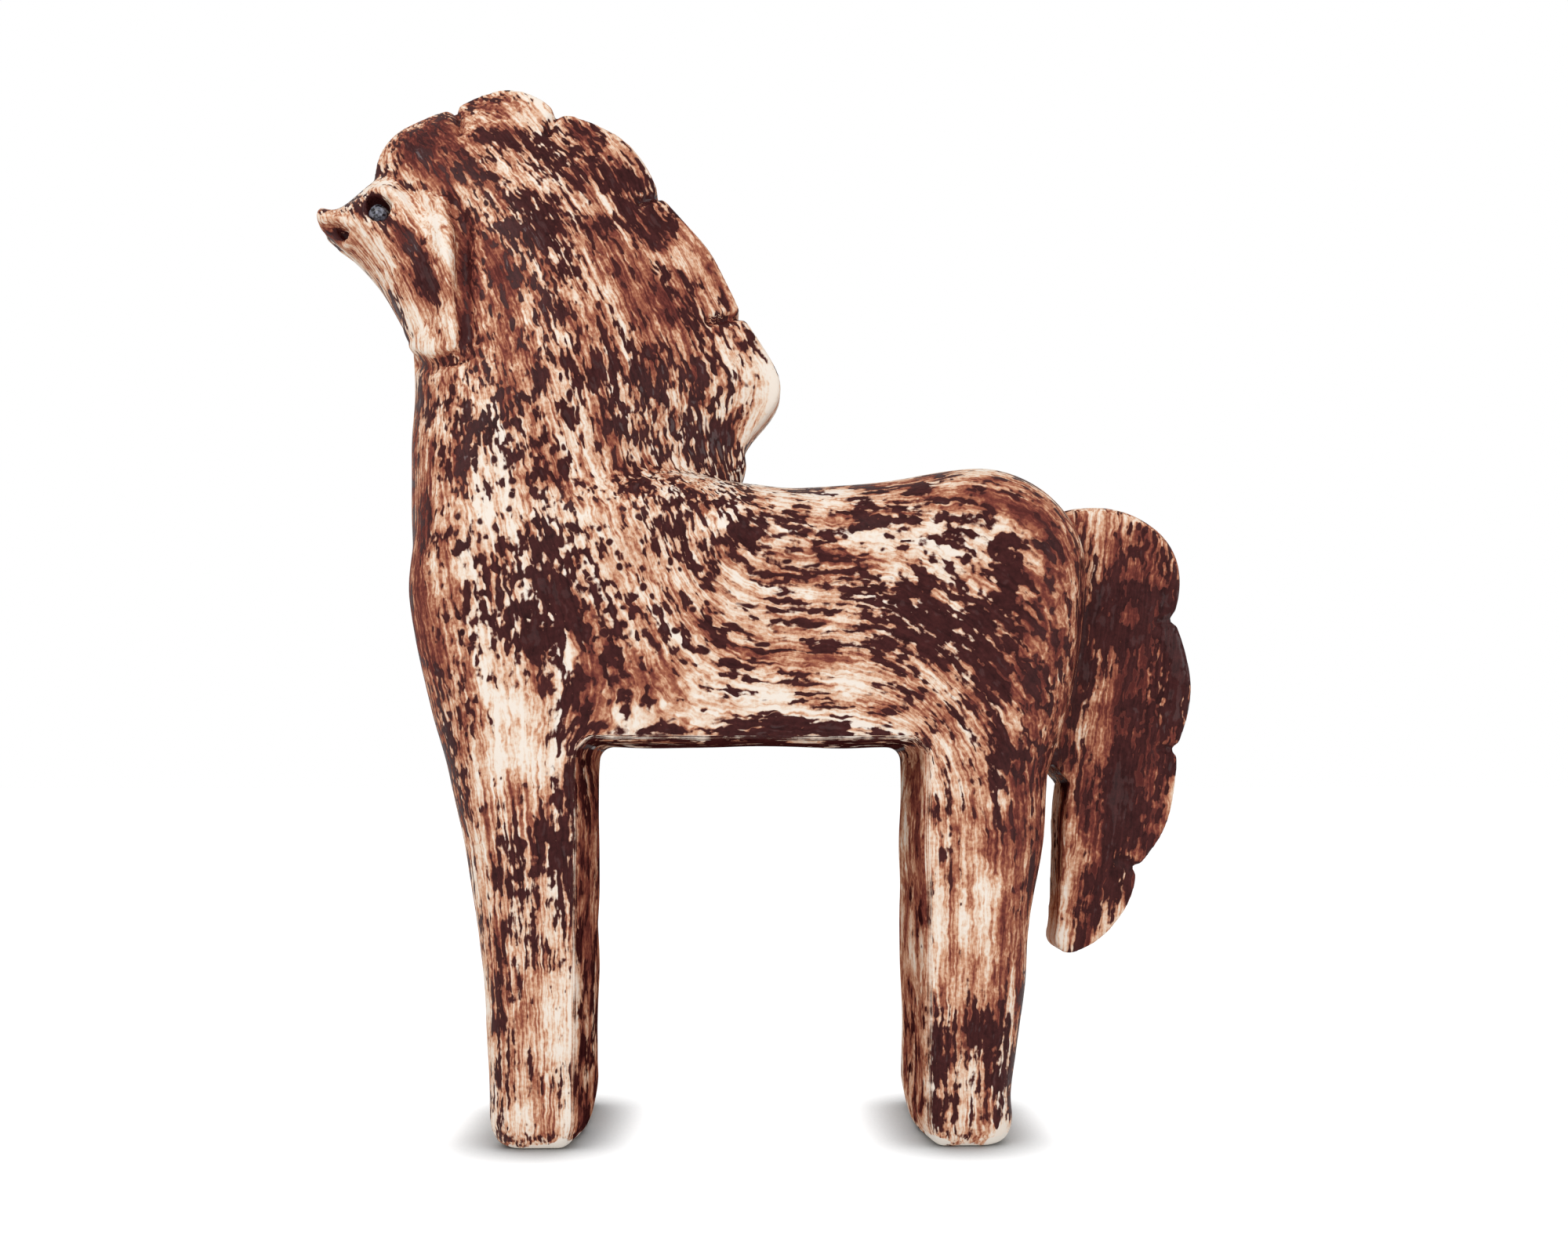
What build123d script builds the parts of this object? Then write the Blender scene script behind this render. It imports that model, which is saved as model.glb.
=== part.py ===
"""A standing ceramic horse, built as a potter builds it: clay members luted face to face.

Millimetres, +Z up, the head towards -X and the horse's left side towards -Y.
The origin is on the floor, under the middle of the horse.
Side outlines are (x, z) points: x runs back from the datum that each outline names.
"""

from build123d import *
import math
import os

os.makedirs("parts", exist_ok=True)

# Driving sizes of the trunk and legs
body_width = 64.0
leg_length = 100.0
arch_span = 92.8
belly_rise = 8.8
arch_corner = 4.2
hide_round = 20.0
arris_round = 2.6
muzzle_reach = 78.5
tail_reach = 79.0

# Legs: depth front to back at the foot, at two heights up the leg and at the joint
front_leg_depths = (24.4, 26.3, 31.2, 38.4)
rear_leg_depths = (25.0, 27.4, 32.8, 37.6)
leg_stations = (0.0, 0.34, 0.68, 1.0)
foot_corner = 8.0
foot_round = 2.3

# Neck: sections level with the floor, from inside the trunk up to the crest
neck_inset = 0.6
crest_edge = 13.0
crest_taper = 0.42
blunt_limit = 0.9

# Mane: lobes fan about one centre, and meet the neck on one root circle
mane_root_radius = 47.0

# Head
muzzle_width = 20.0
cheek_width = 49.0
eye_radius = 2.9
eye_sink = 1.8
socket_radius = 4.0
socket_rise = 1.1
nostril_radius = 2.2
nostril_rise = 0.2
nostril_setback = 7.6
brow_x = -62.0
eye_setback = 4.1

# Tail: thick at the root, thin at the tip
tail_root_width = 25.0
tail_tip_width = 15.0
tail_round = 3.5
notch_round = 1.2
tail_swell = 4.3

# Datums: inner faces of the two legs, and the height of the leg joints
front_x = (muzzle_reach - arch_span - tail_reach) / 2
rear_x = front_x + arch_span
joint_z = leg_length


def fore(x, z):
    """A point measured from the front leg's inner face and the leg joint."""
    return Vector(front_x + x, 0, joint_z + z)


def hind(x, z):
    """A point measured from the rear leg's inner face and the leg joint."""
    return Vector(rear_x + x, 0, joint_z + z)


def slab(edges, width):
    """The side outline as a slab of the given width, centred on the horse's middle plane."""
    return extrude(Face(Wire(edges)), amount=width / 2, dir=(0, 1, 0), both=True)


def chain(*points):
    """Straight edges through the points, one after another."""
    return [Edge.make_line(a, b) for a, b in zip(points, points[1:])]


def side_edges(solid, width):
    """The edges that lie on both flank planes of a slab."""
    return [e for e in solid.edges() if abs(abs(e.center().Y) - width / 2) < 1e-3]


# Trunk: chest, withers, back and rump in one curve, then the belly arch between two stubs
chest_foot = fore(-front_leg_depths[-1], 0)
rump_foot = hind(rear_leg_depths[-1], 0)
hide_line = Edge.make_spline(
    [
        chest_foot,
        fore(-49.0, 42),
        fore(-47.4, 70),
        fore(-24, 88),
        fore(10, 88.5),
        fore(60, 82.0),
        fore(88, 84.6),
        hind(19.5, 87.9),
        hind(42.4, 75.1),
        hind(48.1, 45),
        rump_foot,
    ]
)
rear_arch = Edge.make_three_point_arc(
    hind(0, belly_rise - arch_corner),
    hind(-arch_corner * (1 - math.sqrt(0.5)), belly_rise - arch_corner * (1 - math.sqrt(0.5))),
    hind(-arch_corner, belly_rise),
)
front_arch = Edge.make_three_point_arc(
    fore(arch_corner, belly_rise),
    fore(arch_corner * (1 - math.sqrt(0.5)), belly_rise - arch_corner * (1 - math.sqrt(0.5))),
    fore(0, belly_rise - arch_corner),
)
trunk = slab(
    [hide_line]
    + chain(rump_foot, hind(0, 0), hind(0, belly_rise - arch_corner))
    + [rear_arch]
    + chain(hind(-arch_corner, belly_rise), fore(arch_corner, belly_rise))
    + [front_arch]
    + chain(fore(0, belly_rise - arch_corner), fore(0, 0), chest_foot),
    body_width,
)
flank_edges = side_edges(trunk, body_width)
hide_edges = [e for e in flank_edges if e.length > arch_span * 2]
trunk = fillet(hide_edges, hide_round)
arch_edges = [
    e
    for e in side_edges(trunk, body_width)
    if joint_z + 0.1 < e.center().Z < joint_z + belly_rise + 0.1
    and front_x - 0.1 < e.center().X < rear_x + 0.1
]
trunk = fillet(arch_edges, arris_round)


def leg_section(inner_x, depth, outward, corner, z):
    """A level section of a plank leg: square inner arrises, rounder outer corners."""
    half = body_width / 2
    outer = inner_x + outward * depth
    near = inner_x + outward * arris_round
    far = outer - outward * corner
    bend = math.sqrt(0.5)

    def arc(cx, cy, r, sx, sy):
        """A quarter turn about a corner's centre, from its flank side to its end side."""
        flank_end = (cx, cy + sy * r, z)
        middle = (cx + sx * r * bend, cy + sy * r * bend, z)
        return Edge.make_three_point_arc(flank_end, middle, (cx + sx * r, cy, z))

    small, large = half - arris_round, half - corner
    edges = [
        Edge.make_line((near, half, z), (far, half, z)),
        arc(far, large, corner, outward, 1),
        Edge.make_line((outer, large, z), (outer, -large, z)),
        arc(far, -large, corner, outward, -1),
        Edge.make_line((far, -half, z), (near, -half, z)),
        arc(near, -small, arris_round, -outward, -1),
        Edge.make_line((inner_x, -small, z), (inner_x, small, z)),
        arc(near, small, arris_round, -outward, 1),
    ]
    return Wire(edges)


def plank_leg(inner_x, depths, outward):
    """A leg lofted from the foot to its joint, its outer corners growing rounder upwards."""
    sections = []
    for depth, share in zip(depths, leg_stations):
        corner = foot_corner + (hide_round - foot_corner) * share
        sections.append(leg_section(inner_x, depth, outward, corner, leg_length * share))
    leg = Solid.make_loft(sections)
    sole = leg.faces().sort_by(Axis.Z)[0]
    return fillet(sole.edges(), foot_round)


front_leg = plank_leg(front_x, front_leg_depths, -1)
rear_leg = plank_leg(rear_x, rear_leg_depths, 1)

# Neck and mane: one egg-sectioned form, blunt at the throat and thin along the crest.
# Each row is the height above the leg joint, the throat, the crest, how much narrower than the
# trunk's half width the section is, and how blunt the throat is, from 0 for pointed to 1 for square.
neck_rows = (
    (40.0, -45.0, 42.0, 3.0, 0.85),
    (54.0, -50.2, 45.0, 0.0, 0.9),
    (72.0, -51.4, 46.0, 0.0, 0.88),
    (90.0, -51.8, 47.0, 1.0, 0.86),
    (112.0, -51.6, 58.0, 3.0, 0.82),
    (137.0, -53.0, 46.5, 6.0, 0.76),
    (155.0, -56.0, 36.5, 9.5, 0.7),
    (172.0, -65.5, 23.5, 14.0, 0.68),
    (187.0, -60.0, 10.0, 20.0, 0.68),
    (202.0, -49.0, -8.0, 25.1, 0.68),
)
throat_depth = 0.11
crest_run = 0.27
crest_fullness = 0.55
crest_bluntness = 0.6
flow_steps = (0.0, 0.14, 0.27, 0.39, 0.5, 0.61, 0.73, 0.86, 1.0)


def neck_section(rise, throat, crest, narrowing, blunt):
    """One level egg section: a curve round the throat and a small arc at the crest."""
    half = body_width / 2 - narrowing
    edge = min(crest_edge / 2, half * blunt_limit)
    length = crest - throat
    shoulder = throat + length * crest_taper
    tail_end = crest - edge * crest_bluntness
    left_side = [
        (throat + length * throat_depth, half * blunt),
        (shoulder, half),
        (shoulder + length * crest_run, (edge + half) * crest_fullness),
        (tail_end, edge),
    ]
    right_side = [(x, -y) for x, y in left_side]
    flow = list(reversed(left_side)) + [(throat, 0)] + right_side

    def at(x, y):
        """A point of this section."""
        return Vector(front_x + x, y, joint_z + rise)

    side_curve = Edge.make_spline([at(*p) for p in flow], parameters=flow_steps)
    rim = Edge.make_three_point_arc(at(tail_end, -edge), at(crest, 0), at(tail_end, edge))
    return Wire([side_curve, rim])


neck_form = Solid.make_loft([neck_section(*row) for row in neck_rows])

# Mane outline: the notches between lobes, and one point on each lobe's rounded edge
mane_centre = fore(-18, 126)
withers_x = 43.2
forelock_tip = fore(-62.9, 174.3)
notches = [fore(-40.6, 194.2), fore(-10.2, 191.9), fore(19.0, 168.4), fore(43.3, 133.5)]
lobe_backs = [fore(-25.1, 199.4), fore(7.8, 185.0), fore(33.4, 151.6)]
last_lobe = [fore(51.3, 121.5), fore(54.4, 112), fore(48, 100.7), fore(withers_x, 88)]
forelock_back = fore(-54.3, 188.8)


def on_root(point):
    """Where the line from the mane's centre to a notch crosses the root circle."""
    return mane_centre + (point - mane_centre).normalized() * mane_root_radius


def root_arc(start, end):
    """The stretch of the root circle between two roots."""
    middle = on_root((start + end) / 2)
    return Edge.make_three_point_arc(start, middle, end)


def lobe_slab(outer_edge, first, last):
    """A lobe's outline between two notches, wider than the mane so that it cuts right through."""
    root_first, root_last = on_root(first), on_root(last)
    edges = [outer_edge] + chain(last, root_last) + [root_arc(root_last, root_first)]
    return slab(edges + chain(root_first, first), body_width)


forelock_slab = slab(
    [Edge.make_three_point_arc(forelock_tip, forelock_back, notches[0])]
    + chain(notches[0], on_root(notches[0]), forelock_tip),
    body_width,
)
lobe_slabs = [
    lobe_slab(Edge.make_three_point_arc(a, back, b), a, b)
    for a, back, b in zip(notches, lobe_backs, notches[1:])
]
lobe_slabs.append(lobe_slab(Edge.make_spline([notches[-1]] + last_lobe), notches[-1], last_lobe[-1]))

# Head: rounded sections square to its length, from the muzzle back to the cheeks,
# luted over the end of the neck. Each row is the distance from the front leg's inner face,
# the chin line, the nose line, and the half widths at the cheek, the nose bridge and the jaw.
cheek_x = -36.2
head_rows = (
    (-muzzle_reach, 158.2, 164.7, muzzle_width / 2 - 1, 6.0, 6.0),
    (-muzzle_reach + 7.5, 151.4, 166.7, muzzle_width / 2 + 2, 5.5, 6.0),
    (brow_x, 141.4, 174.0, 16.5, 8.0, 9.0),
    (-50.4, 121.8, 168.6, 20.5, 13.0, 12.0),
    (cheek_x, 117.8, 160.0, cheek_width / 2, 19.0, 16.0),
)
cheek_level = 0.55
jaw_rise = 0.08
bridge_drop = 0.06


def head_section(x, chin, nose, half, bridge, jaw):
    """One section of the head: widest at the cheek, narrower along the nose and the jaw."""
    height = nose - chin
    right_side = [
        (jaw, chin + height * jaw_rise),
        (half, chin + height * cheek_level),
        (bridge, nose - height * bridge_drop),
    ]
    left_side = [(-y, z) for y, z in reversed(right_side)]
    flow = [(0, chin)] + right_side + [(0, nose)] + left_side
    return Wire([Edge.make_spline([fore(x, z) + Vector(0, y, 0) for y, z in flow], periodic=True)])


head_form = Solid.make_loft([head_section(*row) for row in head_rows])


def cheek_half(x, z):
    """Half the head's width at a distance x from the front leg's inner face and a height z."""
    before = [row for row in head_rows if row[0] <= x][-1]
    after = [row for row in head_rows if row[0] > x][0]
    share = (x - before[0]) / (after[0] - before[0])
    _, chin, nose, half, bridge, jaw = [a + (b - a) * share for a, b in zip(before, after)]
    level = chin + (nose - chin) * cheek_level
    if z < level:
        return jaw + (half - jaw) * (z - chin) / (level - chin)
    return half + (bridge - half) * (z - level) / (nose - level)


def cheek_spot(x, z, outward, side):
    """A point on or off the cheek, on one side of the head."""
    return fore(x, z) + Vector(0, side * (cheek_half(x, z) + outward), 0)


eye_x = brow_x + eye_setback
eye_z = 157.8
socket_z = eye_z + 1.4
nostril_x = nostril_setback - muzzle_reach
nostril_z = 155.2
eyes = {}
for name, side in (("left_eye", -1), ("right_eye", 1)):
    head_form -= Pos(*cheek_spot(eye_x, socket_z, socket_rise, side)) * Sphere(socket_radius)
    head_form -= Pos(*cheek_spot(nostril_x, nostril_z, nostril_rise, side)) * Sphere(nostril_radius)
    eyes[name] = Pos(*cheek_spot(eye_x, eye_z, -eye_sink, side)) * Sphere(eye_radius)
    head_form -= eyes[name]

# Tail: a scalloped slab, its lobes shrinking towards the tip, set into the rump
tail_free_x = rear_x + 38
tail_notches = [
    hind(tail_reach - 3.3, 45.5),
    hind(tail_reach - 3.6, 7.4),
    hind(63.2, -26.3),
    hind(45.5, -50.8),
]
tail_root_top = hind(41.5, 75.4)
tail_root_inside = [hind(44.3, -2), hind(31.5, 12), hind(31.5, 68), tail_root_top]
tail_crown = [hind(tail_reach - 21.5, 76.6), hind(tail_reach - 6.7, 68), hind(tail_reach - 1.6, 52)]
second_back = (tail_notches[1] + tail_notches[2]) / 2 + Vector(tail_swell, 0, 0)
tail_backs = [hind(tail_reach, 28), second_back, hind(59, -40.7)]
tail_tip = hind(41.6, -49.8)
tail_inner_foot = hind(40.2, -45)
tail_line = [Edge.make_spline([tail_root_top, *tail_crown, tail_notches[0]])]
for a, back, b in zip(tail_notches, tail_backs, tail_notches[1:]):
    tail_line.append(Edge.make_three_point_arc(a, back, b))
tail_line.append(Edge.make_three_point_arc(tail_notches[-1], tail_tip, tail_inner_foot))
tail_line.append(Edge.make_spline([tail_inner_foot, hind(43.0, -18.3), tail_root_inside[0]]))
tail_slab = slab(tail_line + chain(*tail_root_inside), tail_root_width)
creases = tail_slab.edges().filter_by(Axis.Y).filter_by(lambda e: e.center().X > tail_free_x)
tail_slab = fillet(creases, notch_round)
tail_rim = [e for e in side_edges(tail_slab, tail_root_width) if e.center().X > tail_free_x]
tail_form = fillet(tail_rim, tail_round)
tail_front = [
    Vector(rear_x, tail_root_width / 2, tail_root_top.Z + 5),
    Vector(rear_x, tail_tip_width / 2, tail_notches[3].Z - 5),
    Vector(rear_x, -tail_tip_width / 2, tail_notches[3].Z - 5),
    Vector(rear_x, -tail_root_width / 2, tail_root_top.Z + 5),
]
tail_form &= extrude(Face(Wire(chain(*tail_front, tail_front[0]))), amount=tail_reach + 5, dir=(1, 0, 0))

# Neck proper: what the root circle leaves of the egg form, its flanks just inside the trunk's
root_chain = [on_root(point) for point in notches + last_lobe[-1:]]
neck_slab = slab(
    [root_arc(a, b) for a, b in zip(root_chain, root_chain[1:])]
    + chain(root_chain[-1], last_lobe[-1], fore(withers_x, 30), fore(-muzzle_reach, 30))
    + chain(fore(-muzzle_reach, 30), forelock_tip, root_chain[0]),
    body_width - 2 * neck_inset,
)

# Luting: each member is cut back to the one that it sits on
mane = {"forelock": neck_form & forelock_slab}
for number, lobe in enumerate(lobe_slabs, start=1):
    mane[f"mane_lock_{number}"] = (neck_form & lobe) - trunk
neck = (neck_form & neck_slab) - trunk
head = head_form - neck_form

horse = {
    "barrel": trunk,
    "front_leg": front_leg,
    "rear_leg": rear_leg,
    "neck": neck,
    "head": head,
    **eyes,
    **mane,
    "tail": tail_form - trunk,
}
for name, piece in horse.items():
    solids = piece.solids()
    print(name, len(solids), [round(s.volume, 2) for s in solids])
    export_step(piece, f"parts/{name}.step")
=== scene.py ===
# %% [markdown]
# # A slab-built ceramic horse
# The real object is one fired figure. Its members were formed in soft clay, luted together with slip and
# smoothed over by hand, so the finished skin runs on across the joints. Then a dark iron glaze was brushed
# on along the form and wiped back, which leaves cream clay, a peach wash and crisp dark flecks.
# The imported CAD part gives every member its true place: the lesson starts by loading it and never moves it.

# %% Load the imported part
import math
import bmesh
import bpy
import numpy as np
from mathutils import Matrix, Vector
from mathutils.bvhtree import BVHTree


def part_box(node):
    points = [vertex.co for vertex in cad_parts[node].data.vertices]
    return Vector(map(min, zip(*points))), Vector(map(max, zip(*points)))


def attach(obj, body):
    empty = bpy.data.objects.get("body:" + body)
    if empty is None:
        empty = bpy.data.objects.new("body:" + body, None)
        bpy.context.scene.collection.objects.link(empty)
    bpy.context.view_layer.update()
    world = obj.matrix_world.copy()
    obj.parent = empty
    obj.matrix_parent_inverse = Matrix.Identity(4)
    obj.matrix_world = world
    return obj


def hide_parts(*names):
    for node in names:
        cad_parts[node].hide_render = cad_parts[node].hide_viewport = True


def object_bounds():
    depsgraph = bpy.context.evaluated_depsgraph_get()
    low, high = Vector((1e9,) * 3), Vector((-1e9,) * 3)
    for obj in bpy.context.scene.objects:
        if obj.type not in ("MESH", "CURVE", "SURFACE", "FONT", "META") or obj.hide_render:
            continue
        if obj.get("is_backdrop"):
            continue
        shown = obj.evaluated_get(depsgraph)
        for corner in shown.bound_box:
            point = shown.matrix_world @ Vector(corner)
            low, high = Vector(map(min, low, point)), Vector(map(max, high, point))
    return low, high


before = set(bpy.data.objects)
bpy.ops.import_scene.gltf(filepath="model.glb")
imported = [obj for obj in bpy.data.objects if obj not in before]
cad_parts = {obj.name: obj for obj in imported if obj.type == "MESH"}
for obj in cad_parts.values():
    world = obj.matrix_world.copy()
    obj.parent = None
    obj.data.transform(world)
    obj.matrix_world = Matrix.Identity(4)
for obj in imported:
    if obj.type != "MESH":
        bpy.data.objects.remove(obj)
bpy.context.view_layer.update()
MM = 0.001
EYES = ("left_eye", "right_eye")
CLAY = sorted(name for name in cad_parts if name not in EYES)
print("members of clay:", ", ".join(CLAY))

# %% [markdown]
# ## Camera
# The horse is seen square on from its left side, from close by: the far edges of the legs show past the near
# ones. With the width of the horse chosen, matching those edges gives the camera's distance. It stands level
# with the tops of the legs and tips up a little, and a small lens shift does the rest of the framing.

# %% Make the camera
camera_data = bpy.data.cameras.new("side_view")
camera_data.sensor_width = 36.0
camera_data.lens = 35.3
camera_data.shift_y = 0.0435
camera_data.clip_start = 0.01
CAMERA_PLACE, TIP_UP, TURN = (-3.6, -447.0, 99.9), 3.0, -1.64
camera = bpy.data.objects.new("side_view", camera_data)
camera.location = Vector(CAMERA_PLACE) * MM
camera.rotation_euler = (math.radians(90 + TIP_UP), 0, math.radians(TURN))
bpy.context.scene.collection.objects.link(camera)
bpy.context.scene.camera = camera
print("camera stands", tuple(round(c, 3) for c in camera.location), "m")

# %% [markdown]
# ## Nodes and colours
# Materials here are node trees. One helper adds a node, sets it up and links it; another turns the sRGB hex
# colours that people read into the linear numbers that a renderer needs.

# %% Two helpers for materials
def linear(hex_colour):
    """An sRGB hex colour as linear RGBA."""
    parts = [int(hex_colour[i : i + 2], 16) / 255 for i in (1, 3, 5)]
    return [c / 12.92 if c <= 0.04045 else ((c + 0.055) / 1.055) ** 2.4 for c in parts] + [1.0]


def add(tree, kind, inputs=None, **settings):
    """Adds a shader node: settings are its properties, inputs are sockets to link or values to set."""
    made = tree.nodes.new("ShaderNode" + kind)
    for name, value in settings.items():
        setattr(made, name, value)
    for key, value in (inputs or {}).items():
        if isinstance(value, bpy.types.NodeSocket):
            tree.links.new(value, made.inputs[key])
        else:
            made.inputs[key].default_value = value
    return made


def new_material(name):
    """An empty node material and its tree."""
    material = bpy.data.materials.new(name)
    material.use_nodes = True
    material.node_tree.nodes.clear()
    return material, material.node_tree


print("cream clay in linear light:", [round(c, 3) for c in linear("#F6EADB")])

# %% [markdown]
# ## Studio
# A white sweep, a white dome and two soft boxes. The dome alone would render a colour as it is written; the
# boxes trade some of it for shape. The floor is white paint, lifted to full white for the camera only. An
# occlusion node holds the lift back close to the feet, which paints a soft shadow there over the real one.

# %% Dome light
DOME_LEVEL, ROOM_LEVEL = 0.62, 0.5
world = bpy.data.worlds.new("white_dome")
bpy.context.scene.world = world
world.use_nodes = True
dome = world.node_tree
dome.nodes.clear()
seen = add(dome, "LightPath")
straight = {0: seen.outputs["Is Camera Ray"], 1: seen.outputs["Is Transmission Ray"]}
direct = add(dome, "Math", straight, operation="MAXIMUM")
mirror = add(dome, "MapRange", {0: seen.outputs["Is Glossy Ray"], 3: DOME_LEVEL, 4: ROOM_LEVEL})
level = add(dome, "MapRange", {0: direct.outputs[0], 3: mirror.outputs[0], 4: 1.0})
sky = add(dome, "Background", {"Color": (1, 1, 1, 1), "Strength": level.outputs[0]})
add(dome, "OutputWorld", {"Surface": sky.outputs[0]})
bpy.context.scene.view_settings.view_transform = "Standard"

# %% Floor
FLOOR_HALF, SQUARE = 12.0, ((-1, -1), (1, -1), (1, 1), (-1, 1))
CONTACT_REACH, CONTACT_POWER, CAMERA_LIFT = 0.016, 2.4, 0.92
floor_mesh = bpy.data.meshes.new("floor")
corners = [(FLOOR_HALF * x, FLOOR_HALF * y, 0) for x, y in SQUARE]
floor_mesh.from_pydata(corners, [], [(0, 1, 2, 3)])
floor = bpy.data.objects.new("floor", floor_mesh)
bpy.context.scene.collection.objects.link(floor)
white_paint, tree = new_material("matt_white_paint")
seen = add(tree, "LightPath")
tint = {0: seen.outputs["Is Camera Ray"], 6: linear("#F2F2F2"), 7: linear("#9A9A9A")}
paint = add(tree, "BsdfDiffuse", {"Color": add(tree, "Mix", tint, data_type="RGBA").outputs[2]})
# Painted contact shadow: the camera-only lift fades where occlusion finds the feet close.
open_sky = add(tree, "AmbientOcclusion", {"Distance": CONTACT_REACH}, samples=12).outputs["AO"]
shade = add(tree, "Math", {0: open_sky, 1: CONTACT_POWER}, operation="POWER")
lift = add(tree, "MapRange", {0: shade.outputs[0], 3: 0.0, 4: CAMERA_LIFT})
lift = add(tree, "Math", {0: seen.outputs["Is Camera Ray"], 1: lift.outputs[0]}, operation="MULTIPLY")
glow = add(tree, "Emission", {"Color": (1, 1, 1, 1), "Strength": lift.outputs[0]})
both = add(tree, "AddShader", {0: paint.outputs[0], 1: glow.outputs[0]})
add(tree, "OutputMaterial", {"Surface": both.outputs[0]})
floor_mesh.materials.append(white_paint)
floor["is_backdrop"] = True

# %% Two soft boxes
def soft_box(name, place, target, side, watts):
    """A square area lamp at a place, turned to a target; all in metres."""
    lamp = bpy.data.lights.new(name, "AREA")
    lamp.size, lamp.energy = side, watts
    box = bpy.data.objects.new(name, lamp)
    box.location = place
    box.rotation_euler = (Vector(target) - Vector(place)).to_track_quat("-Z", "Y").to_euler()
    bpy.context.scene.collection.objects.link(box)
    return box


soft_box("key_box", (-0.55, -1.05, 0.95), (0, 0, 0.16), 0.9, 7.0)
soft_box("fill_box", (0.95, -0.85, 0.45), (0, 0, 0.14), 0.9, 2.6)

# %% [markdown]
# ## One skin of clay
# The potter smoothed the joints away, so one continuous skin is wanted rather than eleven solids that meet at
# a line. A voxel remesh of all the members together gives it: small even quads with no seams. The skin is
# then reshaped as arrays, which is quick, and cut back into the eleven members at the end.

# %% Voxel skin over all clay members
VOXEL, WELD = 0.8 * MM, 1e-6
gathered = bmesh.new()
for name in CLAY:
    member = bmesh.new()
    member.from_mesh(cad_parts[name].data)
    bmesh.ops.remove_doubles(member, verts=member.verts, dist=WELD)
    merged = bpy.data.meshes.new(name + "_merged")
    member.to_mesh(merged)
    member.free()
    gathered.from_mesh(merged)
    bpy.data.meshes.remove(merged)
rough_mesh = bpy.data.meshes.new("rough_clay")
gathered.to_mesh(rough_mesh)
gathered.free()
rough = bpy.data.objects.new("rough_clay", rough_mesh)
bpy.context.scene.collection.objects.link(rough)
skinner = rough.modifiers.new("skin", "REMESH")
skinner.mode, skinner.voxel_size = "VOXEL", VOXEL
skin = bpy.data.meshes.new_from_object(rough.evaluated_get(bpy.context.evaluated_depsgraph_get()))
bpy.data.objects.remove(rough)
bpy.data.meshes.remove(rough_mesh)

point = np.zeros((len(skin.vertices), 3), np.float32)
skin.vertices.foreach_get("co", point.ravel())
point = point.astype(float) / MM
quads = np.zeros((len(skin.polygons), 4), np.int32)
skin.polygons.foreach_get("vertices", quads.ravel())
edges = np.zeros((len(skin.edges), 2), np.int32)
skin.edges.foreach_get("vertices", edges.ravel())
bpy.data.meshes.remove(skin)
print("skin:", len(point), "points,", len(quads), "quads")

# %% Helpers that work on the skin
near_end = np.concatenate([edges[:, 0], edges[:, 1]])
far_end = np.concatenate([edges[:, 1], edges[:, 0]])
neighbours = np.bincount(near_end, minlength=len(point))


def around(values):
    """Each point's mean over its neighbours."""
    columns = values.reshape(len(values), -1)
    sums = [np.bincount(near_end, column[far_end], len(values)) for column in columns.T]
    return (np.stack(sums, 1) / neighbours[:, None]).reshape(values.shape)


def relax(values, rounds, share=0.5):
    """Evens values out over the skin."""
    for _ in range(rounds):
        values = values + share * (around(values) - values)
    return values


def normals_of(points):
    """Outward normals at the points."""
    a, b, c, d = (points[quads[:, k]] for k in range(4))
    face = np.cross(c - a, d - b)
    total = np.stack(
        [np.bincount(quads.ravel(), np.repeat(face[:, k], 4), len(points)) for k in range(3)], 1
    )
    return total / np.linalg.norm(total, axis=1, keepdims=True)


def ease(low, high, value):
    """A smooth step from 0 at low to 1 at high."""
    t = np.clip((value - low) / (high - low), 0, 1)
    return t * t * (3 - 2 * t)


# Smoothing in and out by turns takes off the voxel steps and hardly shrinks the skin.
STEADY, TURNS = 0.53, 4
for _ in range(TURNS):
    point = relax(point, 1)
    point = relax(point, 1, -STEADY)
normal = normals_of(point)
print("outward:", bool(((point - point.mean(0)) * normal).sum() > 0))

# %% [markdown]
# ## Hand shaping
# Fingers leave no true plane: the flanks swell and dip by up to a millimetre, and the joint round the neck
# is rubbed to a soft hollow. Waves with long, seeded wavelengths give the swell. Extra smoothing along
# the joint gives the hollow. The feet are rounded, the inner faces of the legs bow a little, and the soles
# stay flat, because the real horse was set down wet on a board.

# %% Blend the joints and swell the flanks
def near_line(points, line):
    """Distance in the side view from each point to a bent line of (x, z) corners."""
    flat = points[:, [0, 2]]
    best = np.full(len(flat), 1e9)
    for a, b in zip(np.array(line[:-1], float), np.array(line[1:], float)):
        run = b - a
        t = np.clip(((flat - a) @ run) / (run @ run), 0, 1)
        best = np.minimum(best, np.linalg.norm(flat - a - t[:, None] * run, axis=1))
    return best


NECK_JOINT = [(-99, 166), (-88, 174), (-72, 184), (-40, 186), (-20, 187)]
JOINT_CORE, JOINT_REACH, RUBS = 6, 17, 60
blend = 1 - ease(JOINT_CORE, JOINT_REACH, near_line(point, NECK_JOINT))
for _ in range(RUBS):
    point = point + 0.5 * blend[:, None] * (around(point) - point)

rng = np.random.default_rng(7)
swell = np.zeros(len(point))
for wavelength, height in ((62, 0.3), (44, 0.24), (29, 0.18), (19, 0.12)):
    for _ in range(4):
        heading = rng.normal(size=3)
        heading /= np.linalg.norm(heading)
        swell += height * 0.5 * np.sin(point @ heading * 2 * math.pi / wavelength + rng.uniform(0, 6.28))
SOLE_FADE = (2, 14)
point = point + normals_of(point) * (swell * ease(*SOLE_FADE, point[:, 2]))[:, None]
print("swell reaches", round(float(np.abs(swell).max()), 2), "mm")

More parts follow.
